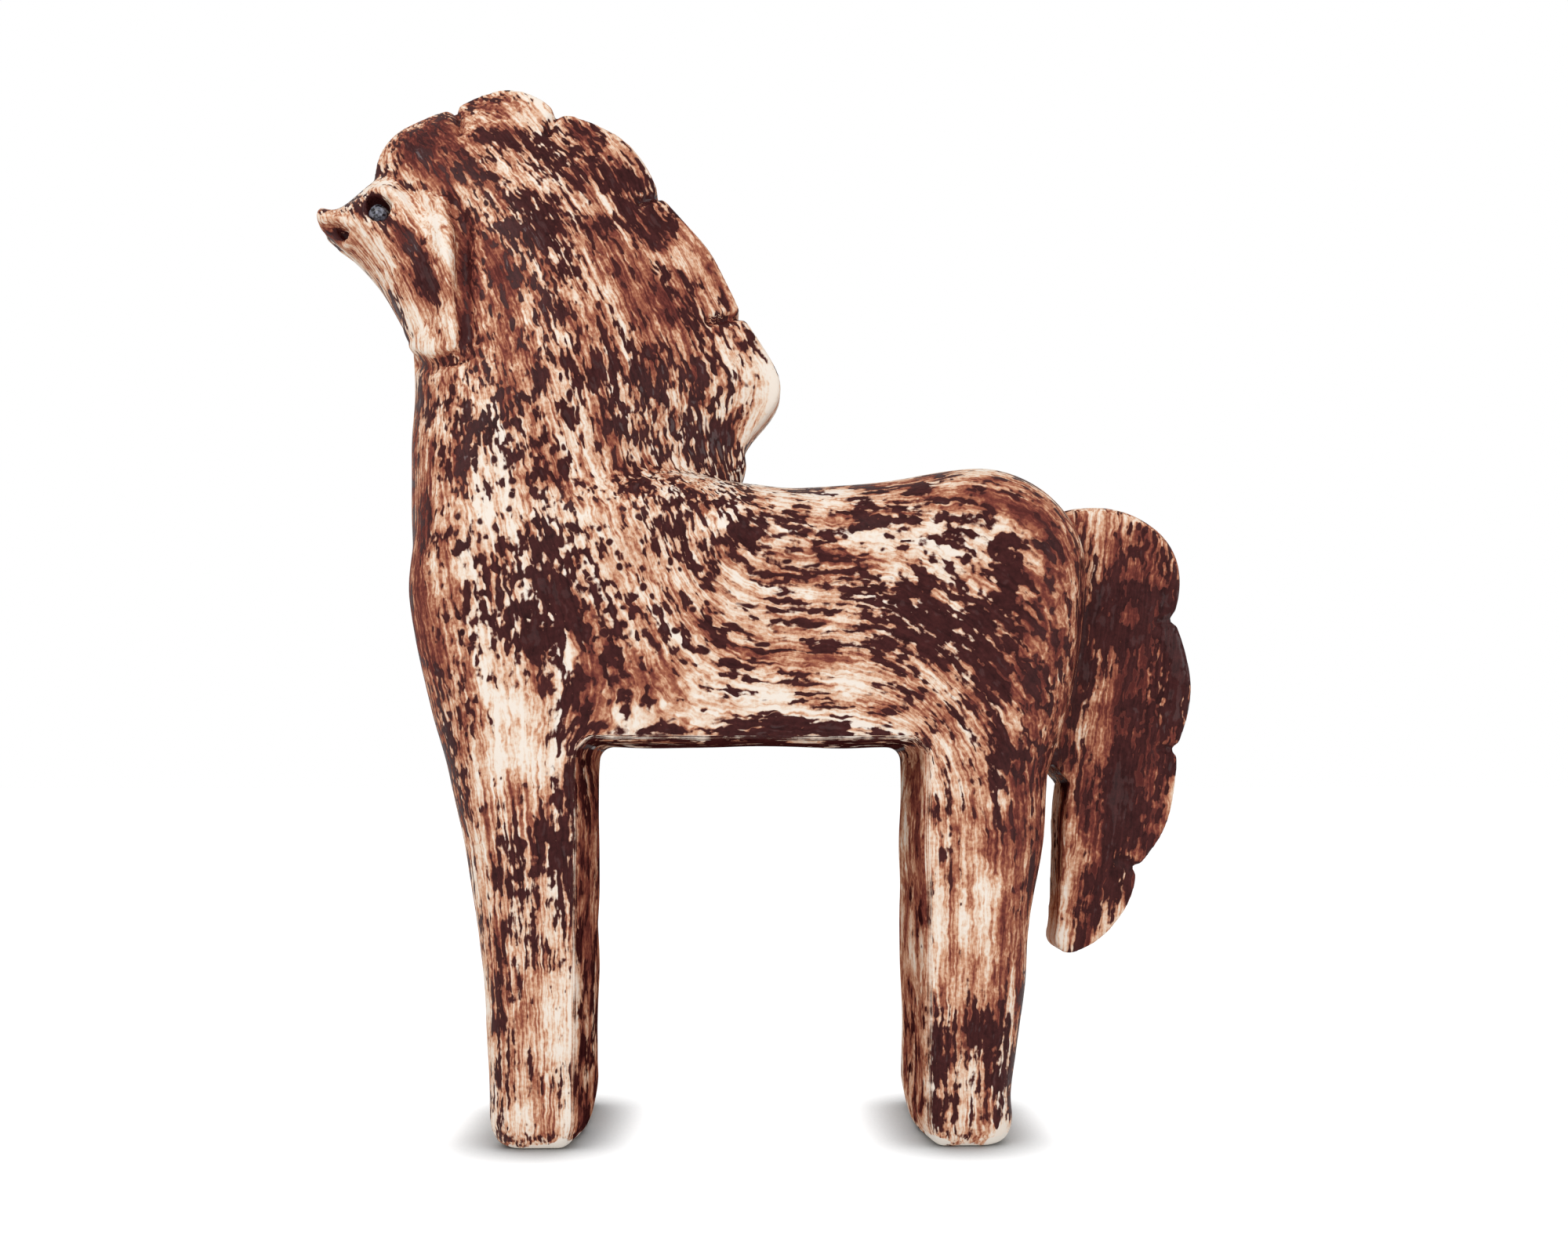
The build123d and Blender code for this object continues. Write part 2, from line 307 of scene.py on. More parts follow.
# %% Round the feet and bow the inner faces of the legs
FOOT_ROUND, FOOT_HEIGHT, HALF_WIDTH = 3.8, 9.0, 32.0
LEGS, LEG_REACH = ((-58.9, 12.2), (58.7, 12.5)), 30
MID_TUCK, SIDE_TUCK = 0.35, 0.8
for middle_x, half_x in LEGS:
    own = (np.abs(point[:, 0] - middle_x) < LEG_REACH) & (point[:, 2] < FOOT_HEIGHT)
    tuck = FOOT_ROUND * np.where(own, 1 - point[:, 2] / FOOT_HEIGHT, 0) ** 2
    plan = MID_TUCK + (1 - MID_TUCK) * (point[:, 1] / HALF_WIDTH) ** 2
    point[:, 0] -= plan * tuck * (point[:, 0] - middle_x) / half_x
    point[:, 1] -= SIDE_TUCK * tuck * point[:, 1] / HALF_WIDTH
ARCH_BOW, BOW_HALF, ARCH_HALF, ARCH_FADE = 1.2, 30, 50, (112, 90)
normal = normals_of(point)
inward = ease(0.6, 0.95, -normal[:, 0] * np.sign(point[:, 0]))
facing = inward * (np.abs(point[:, 0]) < ARCH_HALF) * ease(*ARCH_FADE, point[:, 2])
bow = ARCH_BOW * facing * np.clip(1 - (point[:, 1] / BOW_HALF) ** 2, 0, 1)
point = point + normal * bow[:, None]
print("inner faces bow by", round(float(bow.max()), 2), "mm")

# %% [markdown]
# ## Tool marks
# Before the clay dried, a blade pressed a groove in from every notch of the mane and tail, and thumbs raised
# the brow and cheek. Each mark is a bent line in the side view with a width and a depth: points near the line
# move in or out along their normals, so both sides of the horse get it. The cheek is different: it stands
# proud inside an edge that drops sharply to the neck. The eye hollows are pushed 2 mm up and forward, to
# where they are seen.

# %% Grooves and swells
def press(line, width, depth, low_y=0.0):
    """Sinks a groove of the given half width and depth along a line; a negative depth raises a ridge."""
    global point
    amount = depth * np.exp(-((near_line(point, line) / width) ** 2)) * (np.abs(point[:, 1]) >= low_y)
    point = point - normals_of(point) * amount[:, None]


BLADE_CUTS = (
    ([(-88.5, 296), (-85.6, 291), (-84.4, 284)], 1.1, 1.9, 0), ([(-56.6, 293), (-59.5, 285.5)], 1.2, 2.0, 0),
    ([(-26.6, 269), (-32.5, 266)], 1.2, 2.0, 0), ([(-3, 233.6), (-12.5, 230.5)], 1.2, 2.2, 0),
    ([(122, 144.9), (116.5, 144)], 1.2, 1.5, 0), ([(121.5, 107.4), (116.5, 107.4)], 1.2, 1.5, 0),
    ([(109.5, 73.7), (105, 76)], 1.2, 1.5, 0),
)
LOBE_SWELLS = (
    ([(-97, 282), (-92, 284)], 7.0, -0.7, 0), ([(-73, 291), (-71, 285)], 7.5, -1.1, 0),
    ([(-42, 279), (-45, 275)], 8.0, -0.9, 0), ([(-17, 250), (-21, 246)], 8.0, -0.9, 0),
    ([(0, 216), (-6, 214)], 7.0, -0.7, 0), ([(-3, 189.5), (3, 187)], 3.6, -1.7, 0),
)
print("cuts and swells:", len(BLADE_CUTS), len(LOBE_SWELLS))

# %% Cheek, eye hollows and face
def within(points, ring):
    """True for points whose side view lies inside a ring of (x, z) corners."""
    x, z = points[:, 0], points[:, 2]
    hit = np.zeros(len(points), bool)
    for (ax, az), (bx, bz) in zip(ring, ring[1:] + ring[:1]):
        crosses = (az > z) != (bz > z)
        hit ^= crosses & (x < ax + (z - az) * (bx - ax) / ((bz - az) or 1e-9))
    return hit


CHEEK_EDGE = [
    (-86, 262), (-83, 252), (-82.6, 240), (-81.8, 230),
    (-80.4, 221), (-82.5, 216.6), (-90, 216.2), (-97, 221),
]
CHEEK_FRONT = [(-112, 240), (-126, 262), (-104, 272)]
CHEEK_LIFT, CHEEK_STEP, CHEEK_FADE, CHEEK_SIDE = 1.9, (-0.9, 1.1), (3, 12), (5, 12)
EYE_SHIFT, EYE_REACH = np.array((-1.7, 0.0, 1.4)), 8.0
eye_low, eye_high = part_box(EYES[0])
eye_middle = (np.array(eye_low) + np.array(eye_high)) / 2 / MM
from_eye = np.hypot(point[:, 0] - eye_middle[0], point[:, 2] - eye_middle[2])
point = point + EYE_SHIFT * np.exp(-((from_eye / EYE_REACH) ** 2))[:, None]
depth_in = near_line(point, CHEEK_EDGE) * np.where(within(point, CHEEK_EDGE + CHEEK_FRONT), 1, -1)
raised = CHEEK_LIFT * ease(*CHEEK_STEP, depth_in) * (1 - ease(*CHEEK_FADE, depth_in))
raised = raised * ease(*CHEEK_SIDE, np.abs(point[:, 1]))
point = point + normals_of(point) * raised[:, None]
FACE_MARKS = (
    ([(-109.8, 264.2), (-106.5, 265.4), (-102.1, 264.2), (-98.8, 260), (-97.8, 255)], 1.7, -1.2, 5),
    ([(-88.6, 257.3), (-86.4, 249.3), (-85.1, 241), (-83.9, 233), (-82.5, 222)], 2.0, -0.8, 10),
    ([(-84.6, 262), (-81.2, 252), (-80.6, 240), (-79.9, 230), (-78.8, 221)], 2.4, 1.5, 10),
    ([(-79.5, 215.5), (-90, 213.6), (-97, 217.5)], 1.7, 1.3, 6),
    ([(-124, 261), (-121.5, 257.6)], 2.6, -0.7, 0),
    ([(-107.5, 262.6), (-105.8, 259), (-103.6, 256)], 1.6, 0.9, 8),
    ([(-116.6, 253.4), (-115.6, 253.2)], 1.3, -0.9, 3), ([(-121, 256.9), (-117.4, 255.4)], 1.4, 1.7, 2),
    ([(-123.6, 259.6), (-119, 259.2), (-114.5, 256.8)], 1.0, -0.8, 2),
    ([(-121.4, 254.6), (-117, 252.6)], 0.9, -0.5, 2),
    ([(-110.4, 265), (-108, 262)], 1.2, 1.0, 6),
)
for line, width, depth, low_y in BLADE_CUTS + LOBE_SWELLS + FACE_MARKS:
    press(line, width, depth, low_y)
point = relax(point, 1)
print("tool marks pressed")

# %% [markdown]
# ## Which way the brush went
# The glaze streaks follow the form: down the neck and front leg, along the barrel, down the haunch and the
# tail. Water flowing through the side view from the muzzle to the feet would take the same lines, so a
# stream function is solved on a 2 mm grid. It is 0 along the throat and chest, 1 along the back and tail, in
# between at the leg arch, and climbs along the mane, where the strokes set out. Half-way along the barrel it
# is drawn nearly level, because there the brush was pulled straight. Scaled up, it counts brush strokes
# across the stream. A distance from the muzzle and crest runs along it. The tail was brushed on its own,
# straight down. Most patterns in the glaze are drawn in those coordinates.

# %% Solve the stream
CELL = 2.0
grid_low = point[:, [0, 2]].min(0) - 5 * CELL
shape = tuple(((point[:, [0, 2]].max(0) - grid_low) / CELL + 6).astype(int))
place = ((point[:, [0, 2]] - grid_low) / CELL).astype(int)
inside = np.zeros(shape, bool)
inside[place[:, 0], place[:, 1]] = True
gx, gz = np.meshgrid(*(grid_low[k] + CELL * (np.arange(shape[k]) + 0.5) for k in range(2)), indexing="ij")
ARCH, GAP = 0.42, 0.74
CREST_X = (-126, -100, -90, -72, -45, -20, 0, 8)
CREST_STREAM = (0.0, 0.46, 0.64, 0.80, 0.92, 0.98, 1.0, 1.0)
MANE_FOOT, CHEST_X, BROW_Z, ARCH_X, ARCH_Z, GAP_X, GAP_Z = 195, -47, 262, 48, 112, (60, 90), 108
stream = np.where(gz > MANE_FOOT, np.interp(gx, CREST_X, CREST_STREAM), 1.0)
stream[(gx < CHEST_X) & (gz < BROW_Z)] = 0.0
stream[(np.abs(gx) < ARCH_X) & (gz < ARCH_Z)] = ARCH
stream[(gx > GAP_X[0]) & (gx < GAP_X[1]) & (gz < GAP_Z)] = GAP
sole = int((0 - grid_low[1]) / CELL) + 1
stream[inside] = 0.5
SETTLING = 3600
for _ in range(SETTLING):
    mean = (stream[2:, 1:-1] + stream[:-2, 1:-1] + stream[1:-1, 2:] + stream[1:-1, :-2]) / 4
    stream[1:-1, 1:-1] = np.where(inside[1:-1, 1:-1], mean, stream[1:-1, 1:-1])
    stream[:, :sole] = stream[:, sole : sole + 1]
BELLY_Z, BACK_Z, BARREL_X = 110.0, 182.0, 12.0
LEVEL_REACH, LEVEL_FADE, LEVEL_SHARE = (46.0, 6.0), (BACK_Z, BACK_Z - 28), 0.75
level_stream = ARCH + (1 - ARCH) * np.clip((gz - BELLY_Z) / (BACK_Z - BELLY_Z), 0, 1)
levelled = LEVEL_SHARE * ease(*LEVEL_REACH, np.abs(gx - BARREL_X)) * ease(*LEVEL_FADE, gz)
stream = np.where(inside, stream + levelled * (level_stream - stream), stream)
print("stream at mid barrel:", round(float(stream[shape[0] // 2, int((150 - grid_low[1]) / CELL)]), 2))

# %% Distance from the muzzle and crest
SIDES = ((1, 0), (-1, 0), (0, 1), (0, -1))
SLANTS = ((1, 1), (1, -1), (-1, 1), (-1, -1))
MOST_CELLS = 420


def travel(start):
    """The shortest way in mm from the start values through the inside of the side view."""
    reached = start
    for _ in range(MOST_CELLS):
        for dx, dz in SIDES + SLANTS:
            nearer = np.roll(reached, (dx, dz), (0, 1)) + CELL * math.hypot(dx, dz)
            reached = np.where(inside, np.minimum(reached, nearer), reached)
    return reached


UNREACHED, FARTHEST, CREST_LEAD, RIM_CELLS = 1e6, 1e5, 0.75, 6
MUZZLE_X, CREST_FOOT = -120, 200
away = travel(np.where(inside & (gx < MUZZLE_X), 0.0, UNREACHED))
open_above = ~np.roll(inside, -1, 1) | ~np.roll(inside, -1, 0)
crest = inside & open_above & (gz > CREST_FOOT) & (gx < CREST_X[-1])
away = travel(np.where(crest, CREST_LEAD * away, UNREACHED))
for _ in range(RIM_CELLS):
    known = away < FARTHEST
    total, count = np.zeros(shape), np.zeros(shape)
    for dx, dz in SIDES:
        total += np.roll(np.where(known, away, 0), (dx, dz), (0, 1))
        count += np.roll(known, (dx, dz), (0, 1))
    away = np.where(known | (count == 0), away, total / np.maximum(count, 1))
print("farthest inside:", round(float(away[inside].max())), "mm")

# %% Both values on the skin
def sample(field):
    """A grid field at every point of the skin, blended between cells."""
    spot = (point[:, [0, 2]] - grid_low) / CELL - 0.5
    i, k = np.floor(spot).astype(int).T
    u, v = (spot - np.floor(spot)).T
    low = field[i, k] * (1 - u) + field[i + 1, k] * u
    high = field[i, k + 1] * (1 - u) + field[i + 1, k + 1] * u
    return low * (1 - v) + high * v


STROKE_SPREAD, FLOW_ROUNDS = 100.0, 12
along, across = relax(sample(away), FLOW_ROUNDS), relax(sample(stream), FLOW_ROUNDS)
flow = np.stack([along, across * STROKE_SPREAD, point[:, 1]], 1)
TAIL_ROOT, TAIL_TOP, TAIL_EDGE, TAIL_LEAN, TAIL_START = 92.0, 175.0, 0.06, 0.12, 300
drop = TAIL_TOP - point[:, 2]
on_tail = point[:, 0] > TAIL_ROOT - TAIL_EDGE * drop
flow[on_tail, 0] = TAIL_START + drop[on_tail]
flow[on_tail, 1] = (point[:, 0] + TAIL_LEAN * drop)[on_tail]
print("brush coordinate runs to", round(float(flow[:, 0].max())), "mm")

# %% [markdown]
# ## Where the glaze lies thick or thin
# Flecks alone would look like an even print. On the real horse the glaze pooled in some places and was wiped
# almost bare in others. Soft oval patches, listed for each part of the horse, say where: middle x and z,
# half length, half width, tilt and strength, for the left flank. The right flank is not seen, so it gets the
# same patches shifted by seeded random steps. Those of the head follow its hollows and ridges, so both sides
# share them. Elsewhere too, ridges were rubbed pale and hollows kept their glaze, which comes from the
# curvature.

# %% Patches of thick and wiped glaze
# The patch in the eye hollow (-107.2, 260.4) and the long one in the groove behind the cheek (-80.5, 233) are
# glaze pooled in those hollows and painted shade in them.
HEAD_THICK = (
    (-91.5, 241, 7.5, 2, -68, 2.0), (-91, 239, 11, 3, -62, 0.9), (-99.8, 230, 7, 1.3, -62, 1.8),
    (-117.7, 265.2, 6, 1.2, 26, 2.0), (-98.5, 267, 6, 1.8, -8, 2.0), (-107.2, 260.4, 3.4, 3.2, 0, 3.0),
    (-119, 256.1, 2.8, 1.5, -22, 2.6), (-80.5, 233, 16, 3, 90, 0.4), (-84, 214.5, 6, 1.6, 0, 1.0),
    (-83, 221, 7, 3, -30, 1.1),
)
NECK_THICK = (
    (-82, 277, 10, 4, -25, 0.8), (-55, 276, 9, 5, 90, 0.6), (-35, 269, 11, 6, -40, 1.2),
    (-62, 255, 13, 5, -42, 1.3), (-15, 231, 14, 3, 3, 0.6), (-12, 198, 12, 7, -35, 1.5),
    (-51, 198, 3, 2.4, -40, 2.6), (-51, 205, 16, 5, 15, 1.1), (-33, 177, 12, 5, -76, 1.0),
    (-81, 204, 8, 6, 0, 1.0), (-69, 193, 8, 5, 0, 0.8), (-37, 211, 8, 5, 90, 0.7),
    (-7, 183, 7, 4, 0, 0.8), (-61, 283, 10, 4, 0, 0.7), (-59, 228, 8, 4, -60, 0.8),
    (-58, 248, 9, 3.5, 0, 0.7),
)
# The long flat patch at (2, 112) lies on the rounded lower edge of the belly: glaze there, and painted shade
# on that edge.
TRUNK_THICK = (
    (-54, 149, 13, 10, 0, 0.9), (-54, 131, 9, 9, 0, 0.9), (-53, 166, 12, 5, 90, 0.8),
    (-83, 112, 13, 6, 100, 0.8), (2, 112, 34, 2.8, 0, 1.6), (-5, 166, 16, 4, 0, 0.9),
    (14, 114, 14, 3, -12, 0.8), (-11, 138, 10, 4, 0, 0.6), (36, 146, 9, 6, -45, 1.1),
    (46, 148, 13, 8, -20, 0.7), (58, 165, 8, 8, 0, 0.4), (23, 169, 11, 3, 0, 0.6),
    (14, 153, 5, 4, 0, 0.8), (34, 128, 10, 5, 0, 0.6), (50, 123, 7, 4, 0, 0.6),
    (-74, 142, 9, 6, 90, 0.6), (-78, 160, 12, 6, 50, 0.5), (65, 140, 15, 11, 90, 0.8),
    (67, 117, 25, 5, 86, 0.9),
)
LEG_THICK = (
    (-52, 106, 8, 5, 90, 1.0), (-49, 92, 22, 2.2, 90, 1.3), (-56, 78, 12, 7, 90, 1.2),
    (-68, 45, 15, 4, 94, 0.3), (-47, 34, 25, 2, 90, 0.5), (46, 16, 15, 5, 90, 0.5),
    (66, 26, 11, 6, 90, 1.5), (60, 31, 8, 6, 0, 0.7), (50, 22, 13, 3, 90, 0.9), (-52, 3, 5, 4, 0, 0.8),
    (47.5, 50, 50, 2, 90, 0.3), (66, 92, 10, 3, 75, 0.6), (53, 80, 6, 4, 90, 0.7),
)
TAIL_THICK = (
    (120, 127, 22, 6, 90, 1.5), (110, 100, 34, 12, 84, 0.7), (104, 92, 12, 3.6, 84, 2.2),
    (105, 150, 15, 10, 80, 0.9), (97, 65, 9, 5, 70, 1.0), (97, 140, 16, 5, 80, 0.8),
    (121, 141, 9, 4, 90, 1.6), (94, 119, 8, 3, 80, 0.7),
)
THICK = NECK_THICK + TRUNK_THICK + LEG_THICK + TAIL_THICK
HEAD_WIPED = (
    (-83, 240, 18, 2, 90, 0.9), (-86, 243, 17, 2.6, -80, 2.8), (-95, 229, 9, 5, -50, 0.7),
    (-94, 259, 9, 4, -60, 2.8), (-120, 259.5, 5, 2.5, -20, 2.4), (-114, 251, 6, 4, -45, 1.0),
    (-103, 265, 6, 1.5, -20, 2.0), (-100, 240, 16, 4, -52, 1.6), (-91, 223, 7, 5, -30, 1.5),
)
NECK_WIPED = (
    (-64, 270, 14, 4, -30, 0.9), (-70, 290, 9, 5, 0, 1.5), (-83, 267, 5, 3, 0, 0.6),
    (-22, 254, 6, 4, 0, 0.8), (-37, 253, 6, 3, 0, 0.7), (-46, 233, 13, 4, 90, 0.9),
    (-27, 234, 9, 4, 15, 0.9), (-67, 225, 14, 6, 90, 0.6), (3, 205, 10, 8, 90, 1.8),
    (-42, 182, 17, 6, -64, 1.5), (-69, 204, 5, 5, 0, 1.0), (-87, 209, 7, 3.5, 90, 1.0),
    (-1, 201, 5, 4, 0, 0.9), (-20, 186, 9, 4, -35, 1.2), (-86, 182, 13, 4, 90, 1.1),
)
TRUNK_WIPED = (
    (-66, 170, 13, 9, 0, 0.5), (-84, 145, 13, 6, 40, 1.1), (-41, 158, 7, 5, 0, 0.8),
    (-27, 153, 9, 5, 90, 0.7), (-13, 121, 25, 6, -8, 0.9), (26, 123, 13, 9, 0, 0.8),
    (9, 131, 7, 5, 0, 1.3), (38, 162, 9, 4, 0, 0.5), (12, 169, 6, 5, 0, 0.8), (24, 155, 5, 4, 0, 0.7),
    (-19, 127, 7, 4, 0, 0.8), (-27, 110, 6, 3, 0, 0.6), (47, 153, 9, 4, -30, 0.8),
    (71, 171, 8, 6, -60, 0.9), (71, 134, 10, 5, 90, 0.5),
)
LEG_WIPED = (
    (-63, 112, 15, 9, 86, 1.7), (-46, 74, 20, 2, 90, 0.8), (-55, 36, 20, 6, 92, 1.5),
    (-73, 60, 35, 2.5, 92, 0.8), (-60, 10, 8, 8, 0, 0.6), (57, 108, 13, 9, 90, 0.6),
    (60, 64, 22, 8, 86, 1.8), (-62, 95, 6, 6, 0, 0.9), (62, 3, 8, 4, 0, 1.5), (68, 54, 8, 5, 90, 1.4),
    (66, 83, 6, 6, 0, 0.7), (45, 103, 6, 3, 90, 0.9), (50, 48, 8, 5, 0, 1.0), (57, 19, 9, 6, 90, 0.6),
)
TAIL_WIPED = (
    (100.4, 169, 7, 3.5, 90, 2.0), (101, 117, 12, 3, 75, 1.8), (89, 66, 16, 2.5, 82, 1.6),
    (89, 54, 6, 3, 20, 1.2), (114, 100, 5, 4, 60, 0.8), (99, 76, 12, 7, 80, 0.7),
    (102, 107, 8, 4, -60, 0.6),
)
WIPED = NECK_WIPED + TRUNK_WIPED + LEG_WIPED + TAIL_WIPED
print("patches of thick and wiped glaze:", len(HEAD_THICK + THICK), len(HEAD_WIPED + WIPED))

# %% Patches of thin wash, specks and long marks
THIN_WASH = (
    (-79, 238, 18, 4, 92, 1.2), (-71, 239, 18, 9, -70, 0.35), (-94, 277, 11, 10, 0, 0.9),
    (-93, 281, 9, 8, 0, 1.9), (-79, 269, 13, 6, -20, 0.5), (-72, 291, 14, 7, 0, 0.9),
    (-42, 276, 14, 9, -38, 1.0), (-18, 247, 15, 8, -52, 0.9), (-24, 231, 13, 6, -20, 0.6),
    (-62, 222, 45, 26, -60, 0.9), (-20, 232, 30, 12, -60, 0.7), (-98, 251, 7, 3, -60, 1.2),
    (-80, 182, 25, 3, 90, 0.5), (-93, 155, 50, 5, 88, 1.3), (-86, 122, 28, 6, 100, 1.0),
    (59, 178, 25, 6, 6, 0.8), (78, 164, 13, 11, -60, 0.8), (-26, 128, 11, 5, 20, 0.9),
    (14, 127, 5, 2, 60, 0.9), (0, 126, 50, 8, 0, 0.6), (80, 125, 45, 12, 85, 1.2),
    (107, 161, 11, 11, 0, 0.9), (112, 120, 50, 16, 88, 1.6), (100, 80, 30, 14, 70, 1.2),
    (-70, 62, 32, 7, 94, 0.9), (-56, 50, 45, 9, 90, 0.4), (53, 89, 15, 13, 0, 0.4),
    (72, 68, 30, 6, 82, 1.0), (60, 60, 40, 11, 88, 0.5),
)
SPECKLED = (
    (-62, 218, 30, 20, -60, 1.0), (-52, 168, 34, 26, -30, 1.0), (-5, 142, 44, 18, 0, 0.8),
    (-10, 215, 20, 16, 90, 0.6), (-72, 238, 18, 10, -70, 1.0),
)
DRAWN_OUT = (
    (-60, 50, 66, 22, 90, 1.3), (60, 55, 66, 24, 88, 1.3), (82, 130, 50, 12, 88, 1.2),
    (-99, 243, 26, 12, -54, 1.2), (105, 100, 60, 18, 85, 0.7), (10, 150, 45, 14, -12, 0.5),
    (-60, 262, 30, 12, -30, 0.8), (50, 178, 40, 8, 6, 1.0), (-93, 170, 50, 5, 90, 0.8),
)


print("patches of wash, specks and long marks:", len(THIN_WASH), len(SPECKLED), len(DRAWN_OUT))

# %% Lay the patches on the skin
SOFTNESS = 0.8


def patches(rows, drift=0.0):
    """The sum of soft oval patches at every point, each moved by a random step of the given size."""
    total = np.zeros(len(point))
    for x, z, long, wide, tilt, strength in rows:
        step = rng.normal(size=2) * drift
        turn = math.radians(tilt)
        off_x, off_z = point[:, 0] - x - step[0], point[:, 2] - z - step[1]
        along = (off_x * math.cos(turn) + off_z * math.sin(turn)) / long
        across = (off_z * math.cos(turn) - off_x * math.sin(turn)) / wide
        total += strength * np.exp(-(along**2 + across**2) * SOFTNESS)
    return total


FAR_DRIFT = 16.0
normal = normals_of(point)
left = 1 - ease(-6, 6, point[:, 1])
pool_and_shade = patches(HEAD_THICK) - patches(HEAD_WIPED)
pool_and_shade += left * (patches(THICK) - patches(WIPED))
pool_and_shade += (1 - left) * (patches(THICK, FAR_DRIFT) - patches(WIPED, FAR_DRIFT))
ARCH_TOP, KNEE_Z, TAIL_GAP_X, TAIL_GAP_TOP, TURNED, TURNED_BACK = 114, 50, 80, 105, (0.3, 0.8), (0.4, 0.9)
arch = (np.abs(point[:, 0]) < ARCH_HALF) & (point[:, 2] < ARCH_TOP)
inner = ease(*TURNED, np.abs(normal[:, 0])) * arch
belly = ease(*TURNED, -normal[:, 2]) * arch * (point[:, 2] > KNEE_Z)
gap = ease(*TURNED_BACK, -normal[:, 0]) * (point[:, 0] > TAIL_GAP_X) * (point[:, 2] < TAIL_GAP_TOP)
SIDEWAYS_CUT, FRONT_POOL_AND_SHADE, REAR_POOL, BELLY_POOL_AND_SHADE, INNER_WASH_AND_SHADE = 0.85, 0.1, -0.5, 0.8, 0.7
flow[:, 2] *= 1 - SIDEWAYS_CUT * np.maximum(inner, belly)
# Surfaces turned down under the belly, and the inner faces of the front legs, get more glaze by their facing
# alone: partly glaze that gathered there, partly painted shade. The rear legs' inner faces get less.
pool_and_shade += np.where(point[:, 0] > 0, REAR_POOL, FRONT_POOL_AND_SHADE) * inner + BELLY_POOL_AND_SHADE * belly
wash = left * patches(THIN_WASH) + (1 - left) * patches(THIN_WASH, FAR_DRIFT)
speckle = patches(SPECKLED)
drag = np.clip(patches(DRAWN_OUT), 0, 1)
bulge = relax(-((around(point) - point) * normal).sum(1), 4)
ridge = np.clip(bulge / np.percentile(np.abs(bulge), 97), -1, 1)
print("pool from", round(float(pool_and_shade.min()), 2), "to", round(float(pool_and_shade.max()), 2))

# %% [markdown]
# ## Wiped iron glaze on cream stoneware
# Iron oxide glaze brushed on a pale stoneware body and wiped back before firing. Where it stayed thick it is
# nearly black and glossy, at its thin edges it is red-brown, and where it was wiped only a peach stain fills
# the bristle marks. Bare clay is cream and dry. Most patterns are noise in the brush coordinates, stretched
# along the stream: flecks are about 1.5 mm by 4 mm, long dashes 1.5 mm by 11 mm, bristle lines 0.8 mm apart.
# Round specks come from cells of 2.5 mm by 4 mm, and torn edges from noise with no direction.

# %% Glaze patterns
glaze, tree = new_material("wiped_iron_glaze_stoneware")
flow_in = add(tree, "Attribute", attribute_name="flow").outputs["Vector"]
pool_and_shade_in = add(tree, "Attribute", attribute_name="pool_and_shade").outputs["Fac"]
wash_and_shade_in = add(tree, "Attribute", attribute_name="wash").outputs["Fac"]
ridge_in = add(tree, "Attribute", attribute_name="ridge").outputs["Fac"]
dry_in = add(tree, "Attribute", attribute_name="dry").outputs["Fac"]
speckle_in = add(tree, "Attribute", attribute_name="speckle").outputs["Fac"]
drag_in = add(tree, "Attribute", attribute_name="drag").outputs["Fac"]
place_in = add(tree, "TexCoord").outputs["Object"]
PER_MM, WANDER_MM, SWAY_MM = 1000.0, 3.5, (1.3, 1.6, 1.6)
wander = add(tree, "TexNoise", {"Vector": place_in, "Scale": PER_MM / WANDER_MM, "Detail": 1.0})
sway = add(tree, "VectorMath", {0: wander.outputs["Color"], 1: (0.5, 0.5, 0.5)}, operation="SUBTRACT")
sway = add(tree, "VectorMath", {0: sway.outputs[0], 1: SWAY_MM}, operation="MULTIPLY")
brush = add(tree, "VectorMath", {0: flow_in, 1: sway.outputs[0]}, operation="ADD").outputs[0]


def streaks(long_mm, wide_mm, detail, roughness=0.55):
    """Noise drawn out along the stream: features of the given length and width."""
    stretched = add(tree, "Mapping", {"Vector": brush, "Scale": (1 / long_mm, 1 / wide_mm, 1 / wide_mm)})
    noise = {"Vector": stretched.outputs[0], "Scale": 1.0, "Detail": detail, "Roughness": roughness}
    return add(tree, "TexNoise", noise).outputs["Fac"]


def blots(size_mm, detail):
    """Noise with no direction, of the given size."""
    noise = {"Vector": place_in, "Scale": PER_MM / size_mm, "Detail": detail}
    return add(tree, "TexNoise", noise).outputs["Fac"]


def weigh(*terms, base=0.0):
    """A weighted sum of values: each term is a socket, its weight and the value that counts as nothing."""
    total = base - sum(weight * middle for _, weight, middle in terms)
    for socket, weight, _ in terms:
        total = add(tree, "Math", {0: socket, 1: weight, 2: total}, operation="MULTIPLY_ADD").outputs[0]
    return total


def step(value, low, high):
    """0 below low, 1 above high, smooth between."""
    ends = {"Value": value, "From Min": low, "From Max": high}
    return add(tree, "MapRange", ends, interpolation_type="SMOOTHSTEP").outputs[0]


fleck = streaks(4.4, 1.5, 1.2)
dash = streaks(11.0, 1.5, 1.5)
bristle = streaks(26.0, 0.8, 2.0)
stroke = streaks(60.0, 5.0, 2.0)
blot = blots(11.0, 3.0)
grit = blots(0.9, 2.0)
cell_place = add(tree, "Mapping", {"Vector": brush, "Scale": (1 / 4.0, 1 / 2.5, 1 / 2.5)}).outputs[0]
cell = add(tree, "TexVoronoi", {"Vector": cell_place, "Scale": 1.0})
chance = add(tree, "SeparateColor", {0: cell.outputs["Color"]}).outputs[0]
from_middle = cell.outputs["Distance"]
speck = weigh((chance, 0.3, 0.5), (from_middle, -0.5, 0), (speckle_in, 0.08, 0), (pool_and_shade_in, 0.04, 0))
soft_dash = weigh((dash, 0.55, 0.5), base=0.5)
